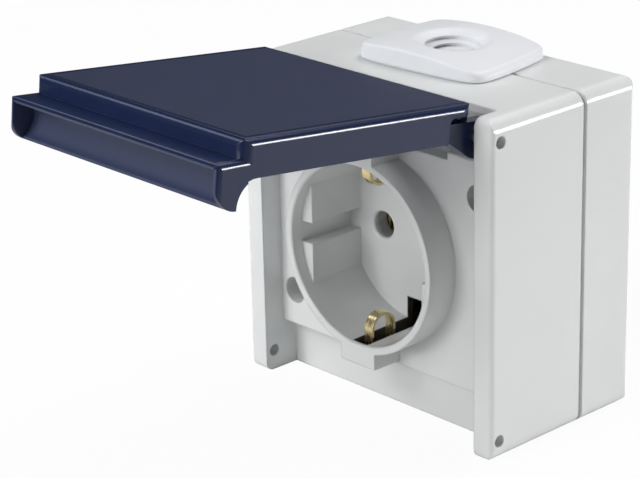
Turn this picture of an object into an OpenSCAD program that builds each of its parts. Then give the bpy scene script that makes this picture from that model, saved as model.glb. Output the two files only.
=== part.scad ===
// Surface mount power socket with a round earthed well, two side cheeks and a hinged lid.
// The origin is the centre of the back face. +Y points into the wall, the front faces -Y and +Z is up.
// The lid is drawn open, as it stands when a plug goes in.

/* [Box] */
// Width of the box
box_w = 74; // [72:0.5:84]
// Height of the box
box_h = 74; // [72:0.5:84]
// Depth of the rear box, from the wall to its rim
rear_depth = 15; // [14:0.5:18]
// Gap between the two box halves, filled by the seal
seam_gap = 1; // [0.8:0.1:1.4]
// Wall of the two box halves
wall = 2.4; // [2:0.1:2.8]
// Back wall of the rear box
back_wall = 2.6; // [2:0.1:3.4]
// Rounding of the long edges of the box
edge_r = 3; // [2:0.25:4]

/* [Front] */
// Distance from the wall to the front plate
plate_depth = 37.7; // [36.5:0.1:42]
// Height of the front plate between the two strips that are set back
plate_h = 51.6; // [51:0.2:54]
// How far the upper and lower strips lie behind the front plate
strip_drop = 3.7; // [3:0.1:4.2]
// Thickness of the side cheeks
cheek_t = 5; // [4:0.25:6]
// How far the cheeks stand out of the front plate
cheek_proud = 5.5; // [4.5:0.1:6.5]
// Rounding of the upright front edges of the cheeks
cheek_edge_r = 1; // [0.5:0.1:1.5]
// Rounding of the upper and lower front corners of the cheeks
cheek_corner_r = 2; // [1:0.25:3]
// Height of the lip along the front of the top wall
lip_h = 1.8; // [1.2:0.1:2.2]
// How far the lip stands out of the upper strip
lip_proud = 2.4; // [1.5:0.1:2.6]
// Rounding of the long edges of the front plate
plate_edge_r = 0.4; // [0.2:0.1:0.8]
// Width of the notch in the upper edge of the front plate
notch_w = 11.4; // [8:0.2:12]
// Depth of the notch in the upper edge of the front plate
notch_h = 1.7; // [1:0.1:2]
// Distance of the notch's outer end from the socket axis
notch_end = 19.4; // [18:0.1:21]

/* [Socket well] */
// Diameter of the well at its rim
well_d = 40.2; // [39.6:0.1:41]
// Diameter of the well at its floor
well_floor_d = 39.6; // [39:0.1:40.2]
// Depth of the well from rim to floor
well_depth = 17.5; // [17:0.1:18.5]
// Wall of the collar round the well
collar_wall = 1.7; // [1.4:0.1:2]
// How far the collar stands out of the front plate
collar_proud = 7.7; // [7:0.1:8.5]
// Size of the bevel round the mouth of the well
mouth_bevel = 0.3; // [0.2:0.1:0.6]
// Thickness of the well floor
floor_t = 1.6; // [1.4:0.1:2.4]
// Distance between the two pin holes
pin_pitch = 19; // [18.6:0.1:19.4]
// Diameter of the pin holes
pin_hole_d = 6; // [5.8:0.1:6.4]
// Depth of the countersink round each pin hole
pin_sink = 0.4; // [0.2:0.1:0.6]
// Distance of the flat rib faces from the socket axis
rib_face = 16.5; // [16:0.1:17.5]
// Gap between the upper and lower rib on each side
rib_gap = 4.8; // [4:0.1:5.6]
// Distance of the rib fronts behind the rim
rib_inset = 2.9; // [2:0.1:4]

/* [Earth contact] */
// Width of the earth slots
earth_slot_w = 4.2; // [3.8:0.1:4.8]
// Distance from the socket axis to the inner end of the earth slots
earth_slot_in = 14.8; // [14:0.1:15.5]
// Distance of the earth slots behind the rim
earth_slot_inset = 1; // [0.8:0.1:2]
// Width of the two clip housings on the collar
clip_house_w = 10.2; // [9:0.2:11]
// Distance from the socket axis to the outer face of the clip housings
clip_house_reach = 24.8; // [24.4:0.1:25]
// Outer wall of the clip housings
clip_house_wall = 1.4; // [1.2:0.1:1.6]
// Width of the earth strap
strap_w = 2.4; // [2:0.1:3.4]
// Thickness of the earth strap
strap_t = 0.6; // [0.5:0.1:1]
// Outer radius of the spring bows
bow_r = 3.5; // [3:0.1:3.8]
// Distance from the socket axis to the top of the bows
bow_top = 14.5; // [13.8:0.1:15.5]
// Distance of the bow centres behind the rim
bow_inset = 6.8; // [6:0.1:8]

/* [Lid] */
// Distance of the hinge axis behind the cheeks' fronts
hinge_depth = 2.4; // [2.2:0.1:3]
// Distance of the hinge axis below the top of the box
hinge_inset = 4.6; // [4.4:0.1:5]
// Angle between the lid as drawn and its closed place
lid_open = 96.6; // [60:0.1:100]
// Gap between the lid and each cheek
lid_side_gap = 0.7; // [0.5:0.1:1]
// Wall of the lid's face
lid_wall = 1.6; // [1.4:0.1:1.8]
// Wall of the lid's skirt
skirt_t = 1.5; // [1.2:0.1:1.6]
// Gap between the closed lid and the collar's rim
rim_gap = 0.7; // [0.5:0.1:0.9]
// Gap between the closed lid's skirt and the front plate
skirt_gap = 2.5; // [2:0.05:2.8]
// Distance from the hinge axis to the lid's back wall
lid_back = 1.4; // [1.4:0.1:2.2]
// Gap between the closed lid's lip and the bottom of the box
lid_end_gap = 0.5; // [0.3:0.1:1.5]
// Rounding of the edges of the lid's face
lid_edge_r = 1.4; // [0.6:0.1:1.6]
// Rounding of the upright front corners of the lid
lid_corner_r = 2.3; // [1.8:0.1:3]
// Rounding of the upright back corners of the lid
lid_back_corner_r = 4; // [3:0.1:4.4]
// Length of the ledge at the free end of the lid
ledge_len = 6; // [5.6:0.1:6.6]
// Thickness of the ledge
ledge_t = 1.5; // [1.2:0.1:1.7]
// Height of the ledge below the lid's face
ledge_drop = 3.7; // [3.5:0.05:4.2]
// Rounding of the ledge's upright corners
ledge_corner_r = 1.2; // [0.8:0.1:2]
// Radius of the finger scoop under the ledge
scoop_r = 4.85; // [4.6:0.05:5]
// Distance of the finger scoop's middle behind the ledge's front
scoop_behind = 0.4; // [0:0.1:0.8]
// Distance of the finger scoop's middle below the top of the ledge
scoop_drop = 4.1; // [3.8:0.1:4.4]
// Distance of the scoop wall's lower edge behind the ledge's front
scoop_tip_back = 2.7; // [2.4:0.1:3.2]
// Thinnest wall between the finger scoop and the hollow behind it
scoop_wall = 0.9; // [0.8:0.1:1.4]
// Wall at the two ends of the finger scoop
scoop_end_wall = 1.2; // [1:0.1:1.5]
// Gap between the closed lid's scoop and the lower strip
tip_gap = 0.6; // [0.5:0.1:1]
// Radius of the hollow behind the scoop, which runs out into the skirt's edge
scoop_back_r = 5.5; // [5.2:0.1:6]
// Length of the scoop's end walls, up to where they run out into the skirt's edge
scoop_run = 9.6; // [9:0.1:10.2]
// Rounding of the lower corners of the scoop's end walls
scoop_corner_r = 4.7; // [4:0.1:5]

/* [Hinge] */
// Diameter of the hinge pins
hinge_pin_d = 2.6; // [2.2:0.1:3]
// Running clearance round the hinge pins
hinge_play = 0.05; // [0.03:0.01:0.08]
// How far the hinge pins lie below the cheeks' outer faces
hinge_pin_sink = 1.8; // [1:0.1:2.4]
// Radius of the lid's hinge ears
ear_r = 4.6; // [4:0.1:4.7]
// Thickness of the hinge ears
ear_t = 3.1; // [2.6:0.1:3.6]
// How far the ears lie inside the lid's sides
ear_set = 0.9; // [0.6:0.1:1.2]
// Height of the flat on top of the ears above the hinge axis
ear_top = 3.1; // [2.6:0.1:3.3]
// Height of the room for the ears' arms in the lid's sides
arm_h = 5.2; // [4.8:0.1:5.6]
// Length of the room for the ears' arms in the lid's sides
arm_len = 7.5; // [7:0.1:8]

/* [Seals] */
// How far the seam seal lies below the outside of the box
seal_set = 0.6; // [0.4:0.1:0.8]
// Width of the seam seal
seal_w = 1.4; // [1.2:0.1:1.6]
// Width of the lid seal ring
lid_seal_w = 4; // [3:0.1:4.4]
// Depth of the seal's groove in the lid
lid_groove = 0.5; // [0.4:0.1:0.7]
// How far the lid seal stands out of its groove
lid_seal_proud = 0.2; // [0.1:0.05:0.25]

/* [Cable entry] */
// Radius of the grommet's neck
neck_r = 11; // [10:0.25:12]
// Width of the grommet's pad
pad_w = 35.6; // [34:0.2:37]
// Depth of the grommet's pad
pad_d = 26.6; // [26:0.2:27.4]
// Height of the grommet's pad above the box
pad_h = 4.6; // [4.4:0.1:5]
// Height that the pad loses from its middle to its sides
pad_crown_w = 1.1; // [0.8:0.1:1.4]
// Height that the pad loses from its middle to its front and back
pad_crown_d = 0.4; // [0.3:0.1:0.8]
// Rounding of the pad's shoulders at the sides
pad_side_r = 2; // [1.4:0.1:2.4]
// Rounding of the pad's shoulders at the front and back
pad_front_r = 0.7; // [0.5:0.1:1.2]
// Radius of the pad's bulging sides
pad_side_bend = 42; // [38:1:50]
// How far the widest place of the pad lies in front of the seam
pad_side_shift = 4.8; // [3:0.2:6]
// Radius of the pad's bulging front and back
pad_front_bend = 110; // [90:5:140]
// Rounding of the pad's corners
pad_corner_r = 2.5; // [1.5:0.25:6]
// Radius of the soft slope round the grommet's dish
dish_slope_r = 8.6; // [8:0.1:9.2]
// Height of the soft slope round the grommet's dish
dish_slope_h = 1.2; // [1:0.1:1.4]
// Radius of the grommet's dish
dish_r = 6.3; // [5.8:0.1:6.8]
// Radius of the membrane at the bottom of the dish
membrane_r = 4.7; // [4.2:0.1:5.2]
// Depth of the dish
dish_depth = 1.8; // [1.5:0.1:2]
// Depth of the well inside the dish
membrane_depth = 0.6; // [0.5:0.1:0.8]
// How far the grommet's inner flange stands out of its neck
flange_out = 1.6; // [1.2:0.1:2]
// Thickness of the grommet's inner flange
flange_t = 1.5; // [1.2:0.1:2]

/* [Fasteners] */
// Distance of the cover screws from the socket axis, sideways
cover_screw_x = 27.9; // [27.6:0.1:28.1]
// Distance of the cover screws from the socket axis, up and down
cover_screw_z = 17.6; // [16:0.1:19]
// Diameter of the cover screws' access holes
access_d = 6; // [5.6:0.1:6.4]
// Diameter of the cover screws' thread
cover_screw_d = 3.2; // [2.9:0.1:3.5]
// Depth of the cover screws' heads below the front plate
head_depth = 13.7; // [12:0.1:15]
// Distance between the two wall screw holes
wall_hole_pitch = 50; // [46:0.5:54]
// Diameter of the wall screw holes
wall_hole_d = 4.6; // [4:0.1:5.2]
// Distance of the carrier screws from the socket axis
carrier_screw_x = 22.5; // [22.2:0.1:23]
// Diameter of the carrier screws' thread
carrier_screw_d = 2.5; // [2.2:0.1:2.9]
// Diameter of the terminal screws' thread
terminal_screw_d = 3; // [2.6:0.1:3.2]

/* [Contacts] */
// Gap between the two leaves of a pin contact
leaf_gap = 4.5; // [4.2:0.1:4.7]
// Thickness of the contact sheet
leaf_t = 0.8; // [0.6:0.1:0.9]
// Height of the contact leaves
leaf_h = 8; // [7:0.1:9]
// Length of the contact leaves along the pin
leaf_len = 9; // [8:0.1:9.4]
// Thickness of the steel springs round the contacts
spring_t = 0.4; // [0.3:0.05:0.5]
// Width of the terminal blocks
block_w = 6.4; // [6:0.1:6.8]
// Height of the terminal blocks
block_h = 6; // [5.6:0.1:6.4]
// Side of the square wire channel in the terminal blocks
wire_w = 3.6; // [3.2:0.1:4]
// Thickness of the clamp plates
clamp_t = 0.8; // [0.6:0.1:1]
// Depth of the contact carrier
carrier_depth = 12.5; // [12:0.1:13.5]
// Thickness of the carrier's front plate
carrier_front = 2.5; // [2.2:0.1:2.8]
// Wall between the carrier's chambers and its outside
carrier_wall = 1.3; // [1.1:0.1:1.6]
// Thickness of the carrier's screw ears
carrier_ear_t = 2.5; // [2:0.1:3]

/* [Hidden] */
$fn = 64;

// Small overlap that lets cuts run past a face
eps = 0.5;
// Gap round parts that slide together inside the box
slip = 0.05;
// Gap round screws in plain holes
screw_gap = 0.2;
// How far ribs and housings run into the wall that carries them
root = 1;

// Planes along the depth, counted from the wall towards the front
half_w = box_w / 2;
half_h = box_h / 2;
seam_y = -rear_depth - seam_gap / 2;
rear_rim_y = -rear_depth;
cover_back_y = -rear_depth - seam_gap;
plate_y = -plate_depth;
strip_y = plate_y + strip_drop;
cheek_y = plate_y - cheek_proud;
rim_y = plate_y - collar_proud;
floor_y = rim_y + well_depth;
floor_back_y = floor_y + floor_t;
lip_y = strip_y - lip_proud;

// Places across the front
cheek_in = half_w - cheek_t;
plate_half = plate_h / 2;
lip_z = half_h - lip_h;
well_r = well_d / 2;
well_floor_r = well_floor_d / 2;
collar_r = well_r + collar_wall;
pin_x = pin_pitch / 2;
slot_out = clip_house_reach - clip_house_wall;

// Hinge and lid, with u along the lid from the hinge axis and w out of its face
hinge_y = cheek_y + hinge_depth;
hinge_z = half_h - hinge_inset;
lid_tilt = lid_open - 90;
lid_half = cheek_in - lid_side_gap;
lid_inner_w = hinge_y - rim_y + rim_gap;
lid_face_w = lid_inner_w + lid_wall;
skirt_w = hinge_y - plate_y + skirt_gap;
lid_end = hinge_z + half_h - lid_end_gap;
panel_end = lid_end - ledge_len;
ledge_w = lid_face_w - ledge_drop;
scoop_w = ledge_w - scoop_drop;
lip_u = lid_end - ledge_t / 2;
scoop_u = lid_end - scoop_behind;
scoop_tip_u = lid_end - scoop_tip_back;
tip_w = hinge_y - strip_y + tip_gap;
scoop_back_w = skirt_w - scoop_back_r;
scoop_reach = scoop_r + scoop_wall + scoop_back_r;
scoop_back_u = scoop_u - sqrt(scoop_reach * scoop_reach - pow(scoop_w - scoop_back_w, 2));
end_back_u = lid_end - scoop_run;
ear_out = lid_half - ear_set;
ear_in = ear_out - ear_t;
arm_u = lid_back + arm_len;
arm_top = skirt_w + arm_h;
hinge_bore_r = hinge_pin_d / 2 + hinge_play;
lid_seal_in = well_r - (lid_seal_w - collar_wall) / 2;
lid_seal_out = lid_seal_in + lid_seal_w;

// Screws and posts
access_wall = 1.5;
post_r = access_d / 2 + access_wall;
head_y = plate_y + head_depth;
head_h = 2.4;
head_gap = 0.3;
head_r = access_d / 2 - head_gap;
washer_t = 0.8;
tip_cover = 3;
cover_screw_tip_y = -back_wall - tip_cover;
carrier_boss_h = 5;
carrier_boss_r = 3.2;
carrier_ear_y = floor_back_y + carrier_boss_h;
boss_bore_y = floor_y + 1;
small_head_h = 1.8;
small_head_out = 0.9;
screw_slot_w = 0.8;
screw_slot_depth = 0.8;
cover_screw_places = [[cover_screw_x, cover_screw_z], [-cover_screw_x, -cover_screw_z]];

// Contacts and terminals
carrier_back_y = floor_back_y + carrier_depth;
chamber_y = floor_back_y + carrier_front;
leaf_set = 0.3;
leaf_y = chamber_y + leaf_set;
leaf_out = leaf_gap / 2 + leaf_t;
leaf_z = leaf_h / 2;
block_z = -leaf_z - leaf_t - block_h / 2;
block_len = carrier_back_y - leaf_y;
chamber_gap = 0.6;
chamber_half = leaf_out + spring_t + 2 * slip + chamber_gap;
chamber_top = leaf_z + spring_t + 2 * slip + chamber_gap;
block_gap = 0.4;
chamber_bottom = block_z - block_h / 2 - block_gap;
carrier_half = pin_x + chamber_half + carrier_wall;
terminal_head_r = terminal_screw_d / 2 + small_head_out;
strap_base_y = carrier_back_y + strap_t;
strap_leg_gap = 0.8;
strap_leg_z = slot_out - strap_leg_gap - strap_t;
block_floor = 1.2;
block_roof = 1;
earth_block_len = 6.9;
earth_block_y = strap_base_y - earth_block_len;
earth_block_z = chamber_top + carrier_wall + block_gap + block_h / 2;
bow_y = rim_y + bow_inset;

// Grommet
membrane_z = half_h + pad_h - dish_slope_h - dish_depth - membrane_depth;

// Rounded rectangle centred on the origin
module rounded_rect(w, h, r) {
    square([w - 2 * r, h], center = true);
    square([w, h - 2 * r], center = true);
    for (x = [-1, 1], y = [-1, 1])
        translate([x * (w / 2 - r), y * (h / 2 - r)])
            circle(r);
}

// A flat shape drawn in x and z, carried from depth y0 to depth y1
module along_y(y0, y1) {
    translate([0, y1, 0])
        rotate([90, 0, 0])
            linear_extrude(y1 - y0)
                children();
}

// A flat shape drawn in y and z, carried sideways and centred
module along_x(len) {
    rotate([90, 0, 90])
        linear_extrude(len, center = true)
            children();
}

// A cylinder along the depth from y0 to y1 at x and z
module rod_y(x, z, r, y0, y1) {
    translate([x, y1, z])
        rotate([90, 0, 0])
            cylinder(r = r, h = y1 - y0);
}

// A cylinder that runs sideways from x0 to x1 along the hinge axis height z
module rod_x(r, x0, x1, z) {
    translate([x0, hinge_y, z])
        rotate([0, 90, 0])
            cylinder(r = r, h = x1 - x0);
}

// Box between two corners
module block(low, high) {
    translate(low)
        cube(high - low);
}

// Outline of the box seen from the front, drawn in by a margin
module box_outline(margin) {
    rounded_rect(box_w - 2 * margin, box_h - 2 * margin, max(edge_r - margin, 0.8));
}

// Hole for the grommet's neck, half in each box half
module neck_hole() {
    translate([0, seam_y, half_h - wall - eps])
        cylinder(r = neck_r + slip, h = wall + 2 * eps);
}

// Rear box

module rear_post(place) {
    rod_y(place[0], place[1], post_r, rear_rim_y, -eps);
    // Web between the post and the side wall
    web_t = 1.6;
    web_drop = 2;
    side = sign(place[0]);
    block(
        [min(side * cover_screw_x, side * (half_w - eps)), rear_rim_y + web_drop, place[1] - web_t / 2],
        [max(side * cover_screw_x, side * (half_w - eps)), -eps, place[1] + web_t / 2]
    );
}

module rear_shell() {
    back_edge_r = 1;
    difference() {
        intersection() {
            along_y(rear_rim_y, 0)
                box_outline(0);
            // Softened back edges, seen from above and from the side
            linear_extrude(box_h, center = true)
                translate([0, -rear_depth])
                    rounded_rect(box_w, 2 * rear_depth, back_edge_r);
            along_x(box_w)
                translate([-rear_depth, 0])
                    rounded_rect(2 * rear_depth, box_h, back_edge_r);
        }
        along_y(rear_rim_y - eps, -back_wall)
            box_outline(wall);
    }
}

module rear_box() {
    boss_wall = 1.8;
    boss_r = wall_hole_d / 2 + boss_wall;
    boss_h = 1.6;
    color("gainsboro")
        difference() {
            union() {
                rear_shell();
                for (place = cover_screw_places)
                    rear_post(place);
                for (s = [-1, 1])
                    rod_y(s * wall_hole_pitch / 2, 0, boss_r, -back_wall - boss_h, -eps);
            }
            for (place = cover_screw_places)
                rod_y(place[0], place[1], cover_screw_d / 2 + slip, rear_rim_y - eps, cover_screw_tip_y + eps);
            for (s = [-1, 1])
                rod_y(s * wall_hole_pitch / 2, 0, wall_hole_d / 2, -back_wall - boss_h - eps, eps);
            neck_hole();
        }
}

// Front cover

// Space in front of the plate and the strips, seen from the side
module front_space() {
    front = cheek_y - eps;
    along_x(2 * cheek_in)
        polygon([
            [front, -half_h - eps],
            [strip_y, -half_h - eps],
            [strip_y, -plate_half],
            [plate_y, -plate_half],
            [plate_y, plate_half],
            [strip_y, plate_half],
            [strip_y, lip_z],
            [lip_y, lip_z],
            [lip_y, half_h + eps],
            [front, half_h + eps]
        ]);
    for (s = [0, 1])
        mirror([0, 0, s])
            along_x(2 * cheek_in)
                translate([plate_y, plate_half])
                    edge_trim(plate_edge_r);
}

// Sliver that rounds a square edge at the origin, drawn towards +y and -z
module edge_trim(r) {
    difference() {
        translate([-eps, -r])
            square(r + eps);
        translate([r, -r])
            circle(r);
    }
}

// Outside of the cover with softened cheek fronts
module cover_outside() {
    depth = cover_back_y - cheek_y;
    intersection() {
        along_y(cheek_y, cover_back_y)
            box_outline(0);
        linear_extrude(box_h, center = true)
            translate([0, cheek_y + depth])
                rounded_rect(box_w, 2 * depth, cheek_edge_r);
        along_x(box_w)
            translate([cheek_y + depth, 0])
                rounded_rect(2 * depth, box_h, cheek_corner_r);
    }
}

// Hollow behind the plate and the strips
module cover_hollow() {
    plate_hollow_r = 1;
    along_y(strip_y + wall, cover_back_y + eps)
        box_outline(wall);
    along_y(plate_y + wall, strip_y + wall + eps)
        rounded_rect(2 * (cheek_in - wall), plate_h - 2 * wall, plate_hollow_r);
}

// Cup of the well with its two clip housings and the bosses behind its floor
module well_outside() {
    rod_y(0, 0, collar_r, rim_y, floor_back_y);
    for (s = [-1, 1]) {
        mirror([0, 0, s < 0 ? 1 : 0])
            block(
                [-clip_house_w / 2, rim_y, well_r - root],
                [clip_house_w / 2, floor_back_y, clip_house_reach]
            );
        rod_y(s * carrier_screw_x, 0, carrier_boss_r, floor_back_y - floor_t, carrier_ear_y);
    }
}

// Inside of the well: a drafted round hollow that leaves the guide ribs standing
module well_inside() {
    rib_top = sqrt(well_r * well_r - rib_face * rib_face) + root;
    difference() {
        translate([0, floor_y, 0])
            rotate([90, 0, 0])
                cylinder(r1 = well_floor_r, r2 = well_r, h = well_depth);
        for (x = [0, 1], z = [0, 1])
            mirror([x, 0, 0])
                mirror([0, 0, z])
                    block(
                        [rib_face, rim_y + rib_inset, rib_gap / 2],
                        [well_r + root, floor_y + eps, rib_top]
                    );
    }
    translate([0, rim_y + mouth_bevel, 0])
        rotate([90, 0, 0])
            cylinder(r1 = well_r, r2 = well_r + mouth_bevel, h = mouth_bevel);
    rod_y(0, 0, well_r, rim_y - eps, rim_y);
}

// Slot for an earth bow through the collar, its housing and the floor
module earth_slot() {
    half = earth_slot_w / 2;
    block([-half, rim_y + earth_slot_inset, well_r - root], [half, floor_back_y + eps, slot_out]);
    block([-half, floor_y - eps, earth_slot_in], [half, floor_back_y + eps, slot_out]);
}

module pin_hole(x) {
    rod_y(x, 0, pin_hole_d / 2, floor_y - eps, floor_back_y + eps);
    translate([x, floor_y + pin_sink, 0])
        rotate([90, 0, 0])
            cylinder(r1 = pin_hole_d / 2, r2 = pin_hole_d / 2 + pin_sink, h = pin_sink);
}

// Tube that guides a cover screw and holds its head
module screw_tube(place) {
    rod_y(place[0], place[1], post_r, plate_y, cover_back_y);
}

module screw_tube_bore(place) {
    rod_y(place[0], place[1], access_d / 2, plate_y - eps, head_y);
    rod_y(place[0], place[1], cover_screw_d / 2 + screw_gap, head_y - eps, cover_back_y + eps);
}

// Notch at the right of the plate's upper edge
module plate_notch() {
    block(
        [notch_end - notch_w, plate_y - eps, plate_half - notch_h],
        [notch_end, strip_y, plate_half + eps]
    );
}

module cheek_holes() {
    for (z = [-hinge_z, hinge_z], s = [-1, 1])
        mirror([s < 0 ? 1 : 0, 0, 0])
            rod_x(hinge_pin_d / 2 + slip / 2, cheek_in - eps, half_w + eps, z);
}

module front_cover() {
    color("gainsboro")
        difference() {
            union() {
                difference() {
                    cover_outside();
                    front_space();
                    cover_hollow();
                }
                well_outside();
                for (place = cover_screw_places)
                    screw_tube(place);
            }
            well_inside();
            for (s = [0, 1])
                mirror([0, 0, s])
                    earth_slot();
            for (s = [-1, 1]) {
                pin_hole(s * pin_x);
                rod_y(s * carrier_screw_x, 0, carrier_screw_d / 2 + slip, boss_bore_y, carrier_ear_y + eps);
            }
            for (place = cover_screw_places)
                screw_tube_bore(place);
            plate_notch();
            cheek_holes();
            neck_hole();
        }
}

// Seals and cable entry

module cover_seal() {
    color("dimgray")
        difference() {
            along_y(cover_back_y, rear_rim_y)
                box_outline(seal_set);
            along_y(cover_back_y - eps, rear_rim_y + eps)
                box_outline(seal_set + seal_w);
            neck_hole();
        }
}

// Plan of the pad: a rounded rectangle with bulging sides
module pad_plan() {
    side_x = pad_side_bend - pad_w / 2;
    front_y = pad_front_bend - pad_d / 2;
    intersection() {
        rounded_rect(pad_w, pad_d, pad_corner_r);
        translate([side_x, -pad_side_shift])
            circle(pad_side_bend, $fn = 180);
        translate([-side_x, -pad_side_shift])
            circle(pad_side_bend, $fn = 180);
        translate([0, front_y])
            circle(pad_front_bend, $fn = 180);
        translate([0, -front_y])
            circle(pad_front_bend, $fn = 180);
    }
}

// Crown of the pad over one of its two spans, with a shoulder at each end
module pad_crown_section(span, crown, shoulder_r) {
    crown_r = (span * span / 4 + crown * crown) / (2 * crown);
    edge_h = pad_h - crown;
    translate([0, half_h])
        intersection() {
            translate([0, pad_h - crown_r])
                circle(crown_r, $fn = 180);
            translate([-span / 2, 0])
                square([span, pad_h]);
            union() {
                rounded_rect(span, 2 * edge_h, shoulder_r);
                translate([shoulder_r - span / 2, 0])
                    square([span - 2 * shoulder_r, pad_h]);
            }
        }
}

module cable_grommet() {
    top = half_h + pad_h;
    inside = half_h - wall;
    dish_step = 0.6;
    neck_wall = 2;
    membrane_t = 1;
    color("whitesmoke")
        translate([0, seam_y, 0])
            difference() {
                union() {
                    intersection() {
                        translate([0, 0, half_h])
                            linear_extrude(pad_h)
                                pad_plan();
                        along_y(-pad_d, pad_d)
                            pad_crown_section(pad_w, pad_crown_w, pad_side_r);
                        along_x(2 * pad_w)
                            pad_crown_section(pad_d, pad_crown_d, pad_front_r);
                    }
                    translate([0, 0, inside - slip])
                        cylinder(r = neck_r, h = wall + 2 * slip);
                    translate([0, 0, inside - slip - flange_t])
                        cylinder(r = neck_r + flange_out, h = flange_t);
                }
                // Stepped dish that ends in the membrane to be pierced by the cable
                translate([0, 0, top - dish_slope_h])
                    cylinder(r1 = dish_r, r2 = dish_slope_r, h = dish_slope_h + slip);
                translate([0, 0, top - dish_slope_h - dish_depth])
                    cylinder(r1 = membrane_r + dish_step, r2 = dish_r, h = dish_depth);
                translate([0, 0, membrane_z])
                    cylinder(r = membrane_r, h = dish_depth);
                // Hollow under the membrane
                translate([0, 0, inside - slip - flange_t - eps])
                    cylinder(r = neck_r - neck_wall, h = membrane_z - membrane_t - inside + slip + flange_t + eps);
            }
}

// Contacts inside the box

// One pin contact at the origin's x: two leaves on a web, with a terminal block below
module pin_contact() {
    end_y = leaf_y + leaf_len;
    for (s = [0, 1])
        mirror([s, 0, 0])
            block([leaf_gap / 2, leaf_y, -leaf_z - leaf_t], [leaf_out, end_y, leaf_z]);
    block([-leaf_out, leaf_y, -leaf_z - leaf_t], [leaf_out, end_y, -leaf_z]);
    difference() {
        terminal_block(block_z, leaf_y, leaf_y + block_len);
        terminal_bores(block_z, leaf_y, leaf_y + block_len);
    }
}

// Body of a terminal between depths y0 and y1
module terminal_block(z, y0, y1) {
    block([-block_w / 2, y0, z - block_h / 2], [block_w / 2, y1, z + block_h / 2]);
}

// Wire channel from below and threaded hole from behind
module terminal_bores(z, y0, y1) {
    channel_y = y0 + block_floor;
    block(
        [-wire_w / 2, channel_y, z - block_h / 2 - eps],
        [wire_w / 2, channel_y + wire_w, z + block_h / 2 - block_roof]
    );
    rod_y(0, z, terminal_screw_d / 2 + slip, channel_y, y1 + eps);
}

// Turns a terminal drawn at the origin's height over and sets it above the carrier
module at_earth_block() {
    translate([0, 0, earth_block_z])
        mirror([0, 0, 1])
            children();
}

// Clamp plate in the channel of a terminal block that starts at depth y0
module clamp_plate(z, y0) {
    plate_y0 = y0 + block_floor + wire_w - clamp_t - slip;
    half = wire_w / 2 - slip;
    block([-half, plate_y0, z - half], [half, plate_y0 + clamp_t, z + half - block_roof]);
}

// Slotted round-headed screw that points towards the front, with the head's seat at depth seat_y
module screw(r, head_radius, seat_y, tip_y) {
    difference() {
        union() {
            rod_y(0, 0, r, tip_y, seat_y);
            rod_y(0, 0, head_radius, seat_y, seat_y + small_head_h);
        }
        block(
            [-head_radius - eps, seat_y + small_head_h - screw_slot_depth, -screw_slot_w / 2],
            [head_radius + eps, seat_y + small_head_h + eps, screw_slot_w / 2]
        );
    }
}

module contact_left() {
    color("goldenrod")
        translate([-pin_x, 0, 0])
            pin_contact();
}

module contact_right() {
    color("goldenrod")
        translate([pin_x, 0, 0])
            pin_contact();
}

// Steel springs that press the contact leaves together
module contact_springs() {
    spring_set = 1;
    y0 = leaf_y + spring_set;
    y1 = leaf_y + leaf_len - spring_set;
    inner = leaf_out + slip;
    color("silver")
        for (s = [-1, 1])
            translate([s * pin_x, 0, 0]) {
                for (m = [0, 1])
                    mirror([m, 0, 0])
                        block([inner, y0, 0], [inner + spring_t, y1, leaf_z + slip + spring_t]);
                block(
                    [-inner - spring_t, y0, leaf_z + slip],
                    [inner + spring_t, y1, leaf_z + slip + spring_t]
                );
            }
}

// Insulating block behind the well floor with a chamber for each contact
module contact_carrier() {
    top = chamber_top + carrier_wall;
    bottom = chamber_bottom - carrier_wall;
    ear_half = carrier_boss_r;
    body_corner_r = 1.5;
    ear_corner_r = 2;
    color("darkslategray")
        difference() {
            union() {
                along_y(floor_back_y, carrier_back_y)
                    translate([0, (top + bottom) / 2])
                        rounded_rect(2 * carrier_half, top - bottom, body_corner_r);
                along_y(carrier_ear_y, carrier_ear_y + carrier_ear_t)
                    rounded_rect(2 * (carrier_screw_x + ear_half), 2 * ear_half, ear_corner_r);
            }
            for (s = [-1, 1]) {
                rod_y(s * pin_x, 0, pin_hole_d / 2, floor_back_y - eps, chamber_y + eps);
                translate([s * pin_x, 0, 0])
                    block(
                        [-chamber_half, chamber_y, chamber_bottom],
                        [chamber_half, carrier_back_y + eps, chamber_top]
                    );
                // Way out for the wire below the terminal
                translate([s * pin_x, 0, 0])
                    block(
                        [-wire_w / 2, leaf_y + block_floor, bottom - eps],
                        [wire_w / 2, leaf_y + block_floor + wire_w, chamber_bottom + eps]
                    );
                rod_y(
                    s * carrier_screw_x, 0, carrier_screw_d / 2 + screw_gap,
                    carrier_ear_y - eps, carrier_ear_y + carrier_ear_t + eps
                );
            }
        }
}

// Spring bow at the upper end of the earth strap, drawn in y and z
module bow_section() {
    bow_z = bow_top + bow_r;
    difference() {
        translate([bow_y, bow_z])
            circle(bow_r);
        translate([bow_y, bow_z])
            circle(bow_r - strap_t);
        translate([bow_y - 2 * bow_r, bow_z])
            square([4 * bow_r, 2 * bow_r]);
    }
    // Straight feet of the bow
    translate([bow_y - bow_r, bow_z])
        square([strap_t, strap_leg_z - bow_z]);
    translate([bow_y + bow_r - strap_t, bow_z])
        square([strap_t, strap_leg_z + strap_t - bow_z]);
    // Leg from the bow back to the base of the strap
    translate([bow_y + bow_r - strap_t, strap_leg_z])
        square([strap_base_y - bow_y - bow_r + strap_t, strap_t]);
}

module earth_strap() {
    color("goldenrod")
        difference() {
            union() {
                along_x(strap_w) {
                    bow_section();
                    mirror([0, 1])
                        bow_section();
                    translate([carrier_back_y, -strap_leg_z - strap_t])
                        square([strap_t, 2 * (strap_leg_z + strap_t)]);
                }
                at_earth_block()
                    terminal_block(0, earth_block_y, strap_base_y);
            }
            at_earth_block()
                terminal_bores(0, earth_block_y, strap_base_y);
        }
}

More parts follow.
